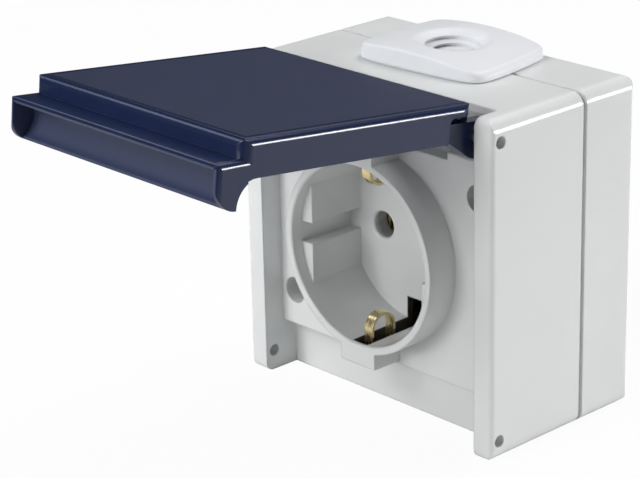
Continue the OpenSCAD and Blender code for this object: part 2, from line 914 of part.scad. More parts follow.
module clamp_plates() {
    color("silver") {
        for (s = [-1, 1])
            translate([s * pin_x, 0, 0])
                clamp_plate(block_z, leaf_y);
        at_earth_block()
            clamp_plate(0, earth_block_y);
    }
}

module terminal_screws() {
    tip = block_floor + wire_w;
    seat = leaf_y + block_len;
    color("silver") {
        for (s = [-1, 1])
            translate([s * pin_x, 0, block_z])
                screw(terminal_screw_d / 2, terminal_head_r, seat, leaf_y + tip);
        translate([0, 0, earth_block_z])
            screw(terminal_screw_d / 2, terminal_head_r, strap_base_y, earth_block_y + tip);
    }
}

module carrier_screws() {
    seat = carrier_ear_y + carrier_ear_t;
    tip = boss_bore_y + eps;
    color("silver")
        for (s = [-1, 1])
            translate([s * carrier_screw_x, 0, 0])
                screw(carrier_screw_d / 2, carrier_screw_d / 2 + small_head_out, seat, tip);
}

// Long cover screws, driven from the front
module cover_screws() {
    seat = head_y - washer_t;
    cross_w = 1;
    cross_len = 1.4 * head_r;
    cross_depth = 1.2;
    color("silver")
        for (place = cover_screw_places)
            difference() {
                union() {
                    rod_y(place[0], place[1], cover_screw_d / 2, seat - eps, cover_screw_tip_y);
                    rod_y(place[0], place[1], head_r, seat - head_h, seat);
                }
                translate([place[0], seat - head_h, place[1]])
                    for (turn = [0, 90])
                        rotate([0, turn, 0])
                            cube([cross_len, 2 * cross_depth, cross_w], center = true);
            }
}

// Soft washers under the heads of the cover screws
module screw_seals() {
    color("black")
        for (place = cover_screw_places)
            difference() {
                rod_y(place[0], place[1], head_r, head_y - washer_t, head_y);
                rod_y(place[0], place[1], cover_screw_d / 2 + slip, head_y - washer_t - eps, head_y + eps);
            }
}

// Lid

// Puts a shape drawn along u and w at the hinge, opened as far as the lid stands
module at_hinge() {
    translate([0, hinge_y, hinge_z])
        rotate([-lid_tilt, 0, 0])
            children();
}

// A flat shape drawn in u and w, carried across the lid from x0 to x1
module across_lid(x0, x1) {
    translate([(x0 + x1) / 2, 0, 0])
        along_x(x1 - x0)
            mirror([1, 0])
                children();
}

// Plan of the lid between u0 and u1, with its own rounding at each end
module lid_plan(half, u0, u1, back_r, front_r) {
    length = u1 - u0;
    middle = (u0 + u1) / 2;
    intersection() {
        translate([0, -middle - back_r])
            rounded_rect(2 * half, length + 2 * back_r, back_r);
        translate([0, -middle + front_r])
            rounded_rect(2 * half, length + 2 * front_r, front_r);
    }
}

// Panel of the lid with rounded face edges and upright corners
module lid_panel() {
    length = panel_end - lid_back;
    height = lid_face_w - skirt_w;
    intersection() {
        across_lid(-lid_half, lid_half)
            translate([lid_back + length / 2, lid_face_w - height])
                rounded_rect(length, 2 * height, lid_edge_r);
        translate([0, 0, skirt_w])
            linear_extrude(height)
                lid_plan(lid_half, lid_back, panel_end, lid_back_corner_r, lid_corner_r);
        along_y(-panel_end, -lid_back)
            translate([0, lid_face_w - height])
                rounded_rect(2 * lid_half, 2 * height, lid_edge_r);
    }
}

// Hollow under the lid's face
module lid_hollow() {
    back_r = lid_back_corner_r - skirt_t;
    front_r = 0.8;
    translate([0, 0, skirt_w - eps])
        linear_extrude(lid_inner_w - skirt_w + eps)
            lid_plan(lid_half - skirt_t, lid_back + skirt_t, panel_end - skirt_t, back_r, front_r);
    // Groove for the seal ring, centred on the socket axis when the lid is shut
    translate([0, -hinge_z, lid_inner_w - eps])
        difference() {
            cylinder(r = lid_seal_out + slip, h = lid_groove + eps);
            translate([0, 0, -eps])
                cylinder(r = lid_seal_in - slip, h = lid_groove + 3 * eps);
        }
}

// Room for an ear and its arm, seen from the side
module ear_room_section() {
    corner_r = 1.6;
    width = arm_u + ear_r;
    height = arm_top + 2 * ear_r;
    translate([arm_u - width / 2, arm_top - height / 2])
        rounded_rect(width, height, corner_r);
}

// Room at the back corners of the skirt, where the ears show, with an open slot above each arm
module ear_room() {
    for (s = [0, 1])
        mirror([s, 0, 0]) {
            across_lid(ear_out, lid_half + eps)
                ear_room_section();
            across_lid(lid_half - skirt_t - eps, lid_half + eps)
                intersection() {
                    ear_room_section();
                    translate([-ear_r, ear_top])
                        square([arm_u + ear_r, arm_top]);
                }
        }
}

// Hinge ear with its arm, a round boss drawn out to the lid's back wall
module ear_section() {
    end_u = arm_u - root;
    reach = sqrt(end_u * end_u + skirt_w * skirt_w);
    touch = atan2(skirt_w, end_u) - acos(ear_r / reach);
    intersection() {
        circle(ear_r);
        translate([-2 * ear_r, -2 * ear_r])
            square([4 * ear_r, ear_top + 2 * ear_r]);
    }
    polygon([
        [0, 0],
        [0, ear_top],
        [end_u, ear_top],
        [end_u, skirt_w],
        [ear_r * cos(touch), ear_r * sin(touch)]
    ]);
}

// Ledge with its round lip, seen from the side
module ledge_section() {
    translate([panel_end - skirt_t, ledge_w - ledge_t])
        square([lip_u - panel_end + skirt_t, ledge_t]);
    translate([lip_u, ledge_w - ledge_t / 2])
        circle(ledge_t / 2);
}

// Outline of the handle below the ledge, with a large rounding at the foot of its front
module handle_outline() {
    height = ledge_w - ledge_t / 2 - tip_w;
    intersection() {
        translate([end_back_u, tip_w + height])
            rounded_rect(2 * scoop_run, 2 * height, scoop_corner_r);
        translate([end_back_u, tip_w])
            square([scoop_run, height]);
    }
}

// Curled wall under the ledge, hollowed by the finger scoop in front and by a larger round behind
module scoop_section() {
    difference() {
        intersection() {
            handle_outline();
            translate([panel_end - skirt_t, tip_w])
                square([scoop_tip_u - panel_end + skirt_t, ledge_w - tip_w]);
        }
        translate([scoop_u, scoop_w])
            circle(scoop_r);
        translate([scoop_back_u, scoop_back_w])
            circle(scoop_back_r);
    }
}

// Wall that closes one end of the scoop and runs out along the skirt's edge
module scoop_end_section() {
    difference() {
        handle_outline();
        translate([end_back_u, scoop_back_w])
            circle(scoop_back_r);
    }
}

// Handle at the free end of the lid, with rounded corners and ends
module handle() {
    height = 2 * (ledge_w - tip_w);
    intersection() {
        union() {
            across_lid(-lid_half, lid_half) {
                ledge_section();
                scoop_section();
            }
            for (s = [0, 1])
                mirror([s, 0, 0])
                    across_lid(lid_half - scoop_end_wall, lid_half)
                        scoop_end_section();
        }
        translate([0, -lid_end / 2, tip_w])
            linear_extrude(height)
                rounded_rect(2 * lid_half, lid_end, ledge_corner_r);
        along_y(-lid_end, 0)
            translate([0, ledge_w - height / 2])
                rounded_rect(2 * lid_half, height, lid_edge_r);
    }
}

module lid() {
    color("midnightblue")
        at_hinge()
            difference() {
                union() {
                    difference() {
                        lid_panel();
                        lid_hollow();
                        ear_room();
                    }
                    handle();
                    for (s = [0, 1])
                        mirror([s, 0, 0])
                            across_lid(ear_in, ear_out)
                                ear_section();
                }
                for (s = [0, 1])
                    mirror([s, 0, 0])
                        translate([ear_in - eps, 0, 0])
                            rotate([0, 90, 0])
                                cylinder(r = hinge_bore_r, h = ear_t + 2 * eps);
            }
}

module lid_seal() {
    color("black")
        at_hinge()
            translate([0, -hinge_z, lid_inner_w - lid_seal_proud])
                difference() {
                    cylinder(r = lid_seal_out, h = lid_groove + lid_seal_proud);
                    translate([0, 0, -eps])
                        cylinder(r = lid_seal_in, h = lid_groove + lid_seal_proud + 2 * eps);
                }
}

// Hinge pin with softened ends, fixed in a cheek
module hinge_pin() {
    soft = 0.3;
    x0 = ear_in + soft;
    x1 = half_w - hinge_pin_sink;
    r = hinge_pin_d / 2;
    translate([x0, hinge_y, hinge_z])
        rotate([0, 90, 0]) {
            cylinder(r1 = r - soft, r2 = r, h = soft);
            translate([0, 0, soft])
                cylinder(r = r, h = x1 - x0 - 2 * soft);
            translate([0, 0, x1 - x0 - soft])
                cylinder(r1 = r, r2 = r - soft, h = soft);
        }
}

module hinge_pin_left() {
    color("silver")
        mirror([1, 0, 0])
            hinge_pin();
}

module hinge_pin_right() {
    color("silver")
        hinge_pin();
}

rear_box();
front_cover();
cover_seal();
cable_grommet();
contact_carrier();
contact_left();
contact_right();
contact_springs();
earth_strap();
clamp_plates();
terminal_screws();
carrier_screws();
cover_screws();
screw_seals();
lid();
lid_seal();
hinge_pin_left();
hinge_pin_right();
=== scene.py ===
# %% [markdown]
# # A surface mount power socket
# The socket is a light grey box in two halves with a round earthed well, a dark blue lid that stands open, and a
# soft pale grommet on top for the cable. The solids come from a finished CAD frame, so this lesson gives them their
# finishes, models the soft grommet again as a smooth surface, and sets up the light and the camera.

# %% Load the frame
import math

import bpy
import numpy as np
from mathutils import Matrix, Vector


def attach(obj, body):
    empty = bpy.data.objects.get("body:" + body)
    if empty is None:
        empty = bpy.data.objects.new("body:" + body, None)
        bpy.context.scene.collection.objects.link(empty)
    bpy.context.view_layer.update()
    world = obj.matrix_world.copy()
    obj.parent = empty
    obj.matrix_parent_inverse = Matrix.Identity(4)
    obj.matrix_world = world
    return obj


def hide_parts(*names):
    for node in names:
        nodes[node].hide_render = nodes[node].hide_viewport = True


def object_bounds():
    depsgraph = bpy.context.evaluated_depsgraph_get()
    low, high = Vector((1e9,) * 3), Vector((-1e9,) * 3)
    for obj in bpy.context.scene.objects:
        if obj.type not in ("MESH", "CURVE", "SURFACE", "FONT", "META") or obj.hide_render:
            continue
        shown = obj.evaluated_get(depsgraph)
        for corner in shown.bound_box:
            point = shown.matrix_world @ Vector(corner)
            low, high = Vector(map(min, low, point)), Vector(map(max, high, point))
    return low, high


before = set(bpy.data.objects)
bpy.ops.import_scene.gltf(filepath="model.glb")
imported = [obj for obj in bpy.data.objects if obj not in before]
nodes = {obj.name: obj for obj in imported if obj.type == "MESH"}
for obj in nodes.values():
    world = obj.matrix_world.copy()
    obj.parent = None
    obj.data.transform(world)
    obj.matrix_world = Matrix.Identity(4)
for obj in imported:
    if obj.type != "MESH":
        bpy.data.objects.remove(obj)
cad_low, cad_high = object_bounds()
scene = bpy.context.scene
MM = 0.001


def in_mm(corners):
    """Corners of a box in millimetres, rounded for printing."""
    return [[round(v / MM, 2) for v in corner] for corner in corners]


print("CAD box in mm", in_mm((cad_low, cad_high)), "with", len(nodes), "nodes")

# %% [markdown]
# ## Camera
# The photograph was taken with a long lens from the front right, looking down by about twenty degrees. A camera can
# be aimed with a Track To constraint, but here the three directions of the picture are known, so they are written
# straight into the camera's matrix as columns: right, up, and backwards along the view.

# %% Camera
VIEW_YAW, VIEW_PITCH, VIEW_ROLL = math.radians(47.182), math.radians(20.539), math.radians(-1.338)
VIEW_PLACE = Vector((336.163, -367.096, 178.412)) * MM
LENS_MM, SENSOR_MM = 132.78, 36.0
NEAREST, FARTHEST = 0.02, 20.0


def view_axes(yaw, pitch, roll):
    """Directions of a camera: forward from yaw and pitch, then right and up turned about it by the roll."""
    forward = Vector((-math.sin(yaw) * math.cos(pitch), math.cos(yaw) * math.cos(pitch), -math.sin(pitch)))
    level = Vector((math.cos(yaw), math.sin(yaw), 0))
    upright = level.cross(forward)
    right = math.cos(roll) * level + math.sin(roll) * upright
    up = math.cos(roll) * upright - math.sin(roll) * level
    return right, up, forward


def placed(across, up, back, place):
    """Matrix of an object: its own x, y and z directions are the first three columns, and its place the fourth."""
    return Matrix((
        (across.x, up.x, back.x, place.x),
        (across.y, up.y, back.y, place.y),
        (across.z, up.z, back.z, place.z),
        (0, 0, 0, 1)))


def add_object(name, data):
    """Makes an object from its data and puts it into the scene."""
    thing = bpy.data.objects.new(name, data)
    scene.collection.objects.link(thing)
    return thing


right, up, forward = view_axes(VIEW_YAW, VIEW_PITCH, VIEW_ROLL)
lens = bpy.data.cameras.new("view_camera")
lens.lens, lens.sensor_width, lens.sensor_fit = LENS_MM, SENSOR_MM, "HORIZONTAL"
lens.clip_start, lens.clip_end = NEAREST, FARTHEST
view_camera = add_object("view_camera", lens)
view_camera.matrix_world = placed(right, up, -forward, VIEW_PLACE)
scene.camera = view_camera
scene.view_settings.view_transform = "Standard"
print("camera at", in_mm([VIEW_PLACE]), "mm with a lens of", LENS_MM, "mm")

# %% [markdown]
# ## Node helpers
# Every finish below is a small node tree. Nodes can be laid out by hand in the Shader Editor, but a script can be read
# and run again, so a few helpers do it here. One empties a tree, one fills a node's inputs with plain values or with
# links from other nodes, one makes a node, one works out a sum, and one tells the camera's own rays from light and
# reflections.

# %% Node helpers


def empty_tree(owner):
    """Switches on the nodes of a material or a world, and returns its tree with nothing in it."""
    owner.use_nodes = True
    owner.node_tree.nodes.clear()
    return owner.node_tree


def fill(tree, node, inputs):
    """Fills each named input of a node: the output of another node becomes a link, and the rest plain values."""
    for key, value in inputs.items():
        socket = node.inputs[key]
        if isinstance(value, bpy.types.NodeSocket):
            tree.links.new(value, socket)
        else:
            socket.default_value = value


def add_node(tree, kind, inputs=None, **settings):
    """Makes a node of that kind, sets its settings and fills its inputs."""
    node = tree.nodes.new("ShaderNode" + kind)
    for key, value in settings.items():
        setattr(node, key, value)
    fill(tree, node, inputs or {})
    return node


def worked_out(tree, operation, *values):
    """The result of one sum on plain values or on the outputs of other nodes."""
    return add_node(tree, "Math", dict(enumerate(values)), operation=operation).outputs[0]


def seen_rays(tree):
    """One where a ray comes straight from the camera, and zero for light and for reflections."""
    return add_node(tree, "LightPath").outputs["Is Camera Ray"]


print("made the node helpers")

# %% [markdown]
# ## Floor
# Such sockets are shown on plain white. A plane in white paint would turn grey away from the lamps, so the floor is a
# sheet just under the box, as big as a small table, that mostly glows white to the camera. Plain light still falls
# on it, so it bounces light up and keeps a soft shadow.

# %% Floor
FLOOR_HALF, FLOOR_TONE, FLOOR_GLOW = 0.34, 0.80, 0.95
WHITE = (1, 1, 1, 1)


def floor_sheet(half, z, count=9):
    """A level square grid: x and y run from minus half to half, and z stays the same."""
    x, y = np.meshgrid(np.linspace(-half, half, count), np.linspace(-half, half, count), indexing="ij")
    points = np.stack([x, y, np.full_like(x, z)], -1).reshape(-1, 3)
    cell = np.arange(count * count).reshape(count, count)
    faces = np.stack([cell[:-1, :-1], cell[1:, :-1], cell[1:, 1:], cell[:-1, 1:]], -1).reshape(-1, 4)
    mesh = bpy.data.meshes.new("floor")
    mesh.from_pydata(points.tolist(), [], faces.tolist())
    return mesh


floor = add_object("floor", floor_sheet(FLOOR_HALF, cad_low.z))

floor_finish = bpy.data.materials.new("white_floor")
tree = empty_tree(floor_finish)
matt = add_node(tree, "BsdfDiffuse", {"Color": (FLOOR_TONE, FLOOR_TONE, FLOOR_TONE, 1)})
bright = add_node(tree, "Emission", {"Color": WHITE, "Strength": 1.0})
share = worked_out(tree, "MULTIPLY", seen_rays(tree), FLOOR_GLOW)
both = add_node(tree, "MixShader", {0: share, 1: matt.outputs[0], 2: bright.outputs[0]})
add_node(tree, "OutputMaterial", {"Surface": both.outputs[0]})
floor.data.materials.append(floor_finish)
print("floor", 2 * FLOOR_HALF, "m wide at z", round(cad_low.z, 4))

# %% [markdown]
# ## Room
# The room beyond the floor is white to the camera too. A plain white world would also shine in every glossy surface,
# and a dark glossy lid only looks dark when there is little around it to reflect. So the world asks what kind of ray
# meets it: white to the camera, dim to reflections, and no light at all on matt surfaces, which the lamps light.

# %% Room
MIRRORED_LIGHT = 0.04

world = bpy.data.worlds.new("white_room")
scene.world = world
tree = empty_tree(world)
mirrored = add_node(tree, "LightPath").outputs["Is Glossy Ray"]
level = worked_out(tree, "MULTIPLY", mirrored, MIRRORED_LIGHT)
soft = add_node(tree, "Background", {"Color": WHITE, "Strength": level})
white = add_node(tree, "Background", {"Color": WHITE, "Strength": 1.0})
both = add_node(tree, "MixShader", {0: seen_rays(tree), 1: soft.outputs[0], 2: white.outputs[0]})
add_node(tree, "OutputWorld", {"Surface": both.outputs[0]})
print("room made, with mirrored light of", MIRRORED_LIGHT)

# %% [markdown]
# ## Lamps
# Soft panels light the socket. Four of them stand in front, high, level, left and right, and fill the well. One above
# the back lights the top, and a dim one behind on the left is what the lid's matt face mirrors. A small bright one low
# behind the right side lights that side and draws the white line along its rounded edges, and a bluish one at the left
# draws the fainter lines along the lid's front edges. Each could be turned by hand with its rotation, but it is easier
# to give the direction it stands in. A lamp's brightness as a surface is its power divided by its area and by pi, so
# the power is worked out from the brightness that is wanted.

# %% Lamps
LIT_POINT = Vector((0, -0.045, 0.005))
COOL_WHITE = (0.78, 0.87, 1.0)


def panel_lamp(name, direction, distance, size, brightness, along, colour=WHITE[:3]):
    """A flat lamp at a distance from the lit point in a direction, facing that point, with a side along a line."""
    towards = Vector(direction).normalized()
    side = (Vector(along) - Vector(along).dot(towards) * towards).normalized()
    data = bpy.data.lights.new(name, "AREA")
    data.shape, data.size, data.size_y = "RECTANGLE", size[0], size[1]
    data.energy = brightness * math.pi * size[0] * size[1]
    data.color = colour
    lamp = add_object(name, data)
    lamp.matrix_world = placed(side, towards.cross(side), towards, LIT_POINT + distance * towards)
    return lamp


# Each row: name, direction, distance, size, brightness, and the line that a side lies along.
lamps = [
    panel_lamp("key_panel", (-0.20, -0.68, 0.70), 1.2, (0.60, 0.60), 7.4, (1, 0, 0)),
    panel_lamp("front_panel", (-0.10, -0.95, 0.24), 1.3, (0.70, 0.45), 6.5, (1, 0, 0)),
    panel_lamp("left_panel", (-0.40, -0.90, 0.15), 1.3, (0.40, 0.40), 3.2, (0.91, -0.40, 0)),
    panel_lamp("right_panel", (0.72, -0.66, 0.20), 1.3, (0.50, 0.40), 1.1, (0.66, 0.72, 0)),
    panel_lamp("back_panel", (0.10, 0.45, 0.88), 1.2, (0.60, 0.60), 6.6, (1, 0, 0)),
    panel_lamp("back_left_panel", (-0.50, 0.60, 0.60), 1.2, (0.60, 0.60), 0.65, (0.77, 0.64, 0)),
    panel_lamp("side_panel", (0.76, 0.64, 0.12), 1.1, (0.32, 0.20), 40.0, (-0.64, 0.76, 0)),
    panel_lamp("edge_panel", (-0.69, -0.22, 0.68), 1.2, (0.40, 0.26), 2.8, (0, 1, 0), COOL_WHITE),
]
print("lamps", [(lamp.name, round(lamp.data.energy, 3)) for lamp in lamps])

# %% [markdown]
# ## Noise and tones
# A flat colour looks like paint, while real mouldings, rubbers and metals drift a little in colour and gloss and have
# a fine grain. An image could carry that, but noise worked out from the place on the piece has no seams and needs no
# unwrapping. These helpers start a finish, make the noise, stretch it to a range, mix tones by it and turn it into
# relief. Noise mostly lies between two known values, so those are the range that is stretched.

# %% Noise and tones
NOISE_LOW, NOISE_HIGH = 0.3, 0.7
MIX_FIRST, MIX_SECOND, MIX_RESULT = 6, 7, 2
EDGE_SAMPLES = 6


def new_finish(name):
    """An empty finish: the material, its tree, its shader and the object coordinates of the surface."""
    finish = bpy.data.materials.new(name)
    tree = empty_tree(finish)
    shader = add_node(tree, "BsdfPrincipled")
    add_node(tree, "OutputMaterial", {"Surface": shader.outputs[0]})
    return finish, tree, shader, add_node(tree, "TexCoord").outputs["Object"]


def cloud(tree, place, size_mm, detail=2.0):
    """Noise whose patches are about that many millimetres across."""
    inputs = {"Vector": place, "Scale": 1 / MM / size_mm, "Detail": detail}
    return add_node(tree, "TexNoise", inputs).outputs["Fac"]


def spread(tree, value, low, high, from_low=NOISE_LOW, from_high=NOISE_HIGH):
    """Stretches a value from one range, which is the noise's if none is given, to another and stops at its ends."""
    inputs = {"Value": value, "From Min": from_low, "From Max": from_high, "To Min": low, "To Max": high}
    return add_node(tree, "MapRange", inputs).outputs["Result"]


def patchy(tree, place, size_mm, low, high, detail=2.0):
    """A value that drifts between two ends in patches of that size."""
    return spread(tree, cloud(tree, place, size_mm, detail), low, high)


def two_tones(tree, factor, first, second):
    """A colour between two tones, each of them a plain colour or the output of another node."""
    first, second = [t if isinstance(t, bpy.types.NodeSocket) else (*t, 1) for t in (first, second)]
    inputs = {0: factor, MIX_FIRST: first, MIX_SECOND: second}
    return add_node(tree, "Mix", inputs, data_type="RGBA").outputs[MIX_RESULT]


def mottled(tree, place, size_mm, first, second, detail=2.0):
    """A colour that drifts between two tones in patches of that size."""
    return two_tones(tree, patchy(tree, place, size_mm, 0, 1, detail), first, second)


def grained(tree, height, depth_mm, edge_mm=0.0):
    """Normal of a surface with a fine relief of that depth, and with its sharp edges softened to that radius."""
    inputs = {"Height": height, "Distance": depth_mm * MM, "Strength": 1.0}
    if edge_mm:
        inputs["Normal"] = add_node(tree, "Bevel", {"Radius": edge_mm * MM}, samples=EDGE_SAMPLES).outputs["Normal"]
    return add_node(tree, "Bump", inputs).outputs["Normal"]


print("made the helpers for noise between", NOISE_LOW, "and", NOISE_HIGH)

# %% [markdown]
# ## Parts of a piece
# One moulding can be dull in one place and shiny in another. Its faces could be given different slots, but each piece
# keeps one slot here, so a finish picks out a part of its piece by distances. The edge of such a part is a narrow soft
# step, because a hard one would look like a line of paint.

# %% Parts of a piece
SOFT_STEP = 0.25 * MM


def lesser(tree, first, second):
    """The smaller of two values."""
    return worked_out(tree, "MINIMUM", first, second)


def rising(tree, value, start):
    """Zero below a distance and one above it, with a soft step that starts there."""
    return spread(tree, value, 0, 1, start, start + SOFT_STEP)


def falling(tree, value, end):
    """One below a distance and zero above it, with a soft step that ends there."""
    return spread(tree, value, 1, 0, end - SOFT_STEP, end)


def between(tree, value, start, end):
    """One between two distances and zero outside them."""
    return lesser(tree, rising(tree, value, start - SOFT_STEP), falling(tree, value, end + SOFT_STEP))


print("made the helpers for parts of a piece, with a soft step of", SOFT_STEP / MM, "mm")

# %% [markdown]
# ## Housing plastic
# The box is moulded in a light grey plastic with a low sheen. Its colour is faintly cloudy, and its gloss changes a
# little from place to place. A Bevel modifier could round its edges, but the CAD mesh is loose triangles, so a Bevel
# node rounds only the normals there, which gives every edge the thin highlight of a moulded one. The two earth slots
# lead into the dark inside of the box, and their walls are the same grey plastic, so the black between them is
# painted shade for the shadow in there. The top is duller than the sides, so it doesn't mirror the grommet.

# %% Housing plastic
# The black here is painted shade: the dark of the box's inside, laid on the walls of the earth slots.
SLOT_HALF, SLOT_SHADE_BLACK = 2.1 * MM, (0.085, 0.078, 0.066)
SLOT_DEPTH, SLOT_SPAN = (-44.4 * MM, -26.3 * MM), (14.8 * MM, 23.4 * MM)
TOP_FROM, TOP_DULLER = 36.6 * MM, 0.25
PLASTIC_IOR = 1.5

housing_plastic_and_slot_shade, tree, shader, place = new_finish("housing_plastic_and_slot_shade")
axes = add_node(tree, "SeparateXYZ", {0: place}).outputs
sideways, upwards = [worked_out(tree, "ABSOLUTE", axes[k]) for k in ("X", "Z")]
# Painted shade mask: one between the walls of each earth slot, zero elsewhere.
painted_slot_shade = lesser(tree, between(tree, upwards, *SLOT_SPAN), between(tree, axes["Y"], *SLOT_DEPTH))
painted_slot_shade = lesser(tree, painted_slot_shade, falling(tree, sideways, SLOT_HALF + SOFT_STEP))
grey = mottled(tree, place, size_mm=14, first=(0.662, 0.674, 0.672), second=(0.682, 0.694, 0.692))
sheen = patchy(tree, place, size_mm=7, low=0.17, high=0.20)
on_top = rising(tree, axes["Z"], TOP_FROM)
fill(tree, shader, {
    "Base Color": two_tones(tree, painted_slot_shade, grey, SLOT_SHADE_BLACK),
    "Roughness": worked_out(tree, "MULTIPLY_ADD", on_top, TOP_DULLER, sheen),
    "Normal": grained(tree, cloud(tree, place, size_mm=0.35, detail=1), depth_mm=0.002, edge_mm=0.6),
    "IOR": PLASTIC_IOR})
print("made", housing_plastic_and_slot_shade.name, "with", len(tree.nodes), "nodes")

# %% [markdown]
# ## Lid plastic
# The lid is the same plastic in a dark navy blue. Its broad face is moulded in a fine matt texture that stops short of
# the rounded edges, and those edges, the step at the front and the ledge are smooth and shine. Two materials on two
# sets of faces could do that, but the texture ends inside a face, so one finish does both: it measures along the lid
# and square to its face from the hinge, and mixes the two glosses by those distances. The scoop under the handle is
# matt as well, and its blue is a little paler, which is painted light for the floor's light that it reflects.

# %% Lid plastic
LID_TILT = math.radians(6.6)
HINGE = Vector((0, -40.8, 32.4)) * MM
FACE_UP = Vector((0, math.sin(LID_TILT), math.cos(LID_TILT)))
ALONG_LID = Vector((0, -math.cos(LID_TILT), math.sin(LID_TILT)))
ACROSS_LID = Vector((1, 0, 0))
FACE_HEIGHT, FACE_HALF, FACE_END = 6.9 * MM, 31.3 * MM, 62.9 * MM
BORDER, FACE_SKIN = 2.4 * MM, 0.3 * MM
# The scoop's paler blue is painted light for the floor's light that it reflects.
LEDGE_UNDER, SCOOP_RIM, SCOOP_PAINTED_LIGHT_BLUE = 2.1 * MM, 0.5 * MM, (0.0235, 0.0340, 0.0830)
SMOOTH, MATT = 0.22, 0.50

lid_plastic, tree, shader, place = new_finish("lid_plastic")


def measured(tree, place, line):
    """Distance from the hinge to a point of the surface along a given line."""
    along = add_node(tree, "VectorMath", {0: place, 1: line}, operation="DOT_PRODUCT").outputs["Value"]
    return worked_out(tree, "SUBTRACT", along, HINGE.dot(line))


height, reach = measured(tree, place, FACE_UP), measured(tree, place, ALONG_LID)
across = worked_out(tree, "ABSOLUTE", measured(tree, place, ACROSS_LID))
inside = lesser(tree, falling(tree, across, FACE_HALF - BORDER), falling(tree, reach, FACE_END - BORDER))
on_face = lesser(tree, inside, rising(tree, height, FACE_HEIGHT - FACE_SKIN))
under = lesser(tree, falling(tree, height, LEDGE_UNDER), rising(tree, reach, FACE_END - BORDER))
in_scoop = lesser(tree, under, falling(tree, across, FACE_HALF - SCOOP_RIM))
matt_part = worked_out(tree, "MAXIMUM", on_face, in_scoop)
navy = mottled(tree, place, size_mm=9, first=(0.0080, 0.0155, 0.052), second=(0.0096, 0.0180, 0.058))
relief = worked_out(tree, "MULTIPLY", cloud(tree, place, size_mm=0.28), on_face)
fill(tree, shader, {
    # In the scoop the navy gives way to the paler blue, which is painted light.
    "Base Color": two_tones(tree, in_scoop, navy, SCOOP_PAINTED_LIGHT_BLUE),
    "Roughness": spread(tree, matt_part, SMOOTH, MATT, 0, 1),
    "Normal": grained(tree, relief, depth_mm=0.03, edge_mm=0.1),
    "IOR": PLASTIC_IOR})
print("made", lid_plastic.name, "with a smooth border of", round(BORDER / MM, 1), "mm")

# %% [markdown]
# ## Pale rubber
# The grommet is a soft pale rubber with a dusty, even sheen. A white plastic finish would look hard, so light enters
# this one a little, which is what Subsurface does, and its gloss is mottled.

# %% Pale rubber
pale_rubber, tree, shader, place = new_finish("pale_rubber")
fill(tree, shader, {
    "Base Color": mottled(tree, place, size_mm=8, first=(0.704, 0.716, 0.742), second=(0.726, 0.738, 0.764)),
    "Roughness": patchy(tree, place, size_mm=2, low=0.42, high=0.56, detail=3),
    "Normal": grained(tree, cloud(tree, place, size_mm=0.4), depth_mm=0.008),
    "Subsurface Weight": 0.12,
    "Subsurface Radius": (1.0, 0.95, 0.9),
    "Subsurface Scale": 1.2 * MM,
    "IOR": 1.45})
print("made", pale_rubber.name)

# %% [markdown]
# ## Dark and grey rubber
# The lid's seal and the washers are a dark rubber, and the seal in the seam is a grey one. Its pale grey is partly
# its own tone and partly painted light, which lifts the shade in the narrow seam. The two could share one material
# with a changing colour, but two finishes from one function are easier to follow. Both get a mottled gloss and a fine
# relief, so that they don't read as hard plastic.

# %% Dark and grey rubber


def firm_rubber(name, first, second, low, high):
    """A rubber finish: colour drifts between two tones and roughness between two values, over a fine relief."""
    finish, tree, shader, place = new_finish(name)
    fill(tree, shader, {
        "Base Color": mottled(tree, place, size_mm=3, first=first, second=second),
        "Roughness": patchy(tree, place, size_mm=1, low=low, high=high, detail=3),
        "Normal": grained(tree, cloud(tree, place, size_mm=0.25), depth_mm=0.01, edge_mm=0.15)})
    return finish


dark_rubber = firm_rubber("dark_rubber", (0.040, 0.042, 0.042), (0.055, 0.057, 0.057), low=0.55, high=0.72)
# The seam's grey is pale: partly its own tone and partly painted light for the shaded seam.
grey_rubber_and_painted_light = firm_rubber("grey_rubber_and_painted_light", (0.650, 0.662, 0.660), (0.690, 0.702, 0.700), low=0.50, high=0.66)
print("made", dark_rubber.name, grey_rubber_and_painted_light.name)

# %% [markdown]
# ## Brass and steel
# The earth bows and contacts are stamped from brass strip, and the screws, springs and pins are zinc plated steel.
# Rolling and turning leave fine lines. An anisotropic shader could hint at them, but lines that are really there are
# seen close up too, so a noise is stretched along them for the gloss and the relief. The colour is a little browner
# where the metal has dulled.

# %% Brass and steel
LINE_MM, LINE_DEPTH_MM = 0.3, 0.004


def stretched(tree, place, scale):
    """Object coordinates squeezed differently along each axis, so that a noise on them turns into lines."""
    return add_node(tree, "Mapping", {"Vector": place, "Scale": scale}).outputs["Vector"]


def lined_metal(name, scale, patch_mm, dull, clean, roughness, edge_mm):
    """A metal finish: lines give the gloss and the relief, and the colour drifts from dull to clean."""
    finish, tree, shader, place = new_finish(name)
    lines = cloud(tree, stretched(tree, place, scale), LINE_MM)
    fill(tree, shader, {
        "Base Color": mottled(tree, place, patch_mm, dull, clean, detail=3),
        "Roughness": spread(tree, lines, *roughness),
        "Normal": grained(tree, lines, LINE_DEPTH_MM, edge_mm),
        "Metallic": 1.0})
    return finish


brass = lined_metal("brass", scale=(1.0, 0.12, 0.12), patch_mm=3, dull=(0.740, 0.590, 0.280),
                    clean=(0.870, 0.750, 0.440), roughness=(0.20, 0.34), edge_mm=0.15)
zinc_steel = lined_metal("zinc_steel", scale=(1.0, 0.15, 1.0), patch_mm=2, dull=(0.500, 0.500, 0.490),
                         clean=(0.610, 0.610, 0.600), roughness=(0.24, 0.40), edge_mm=0.12)
print("made", brass.name, zinc_steel.name)

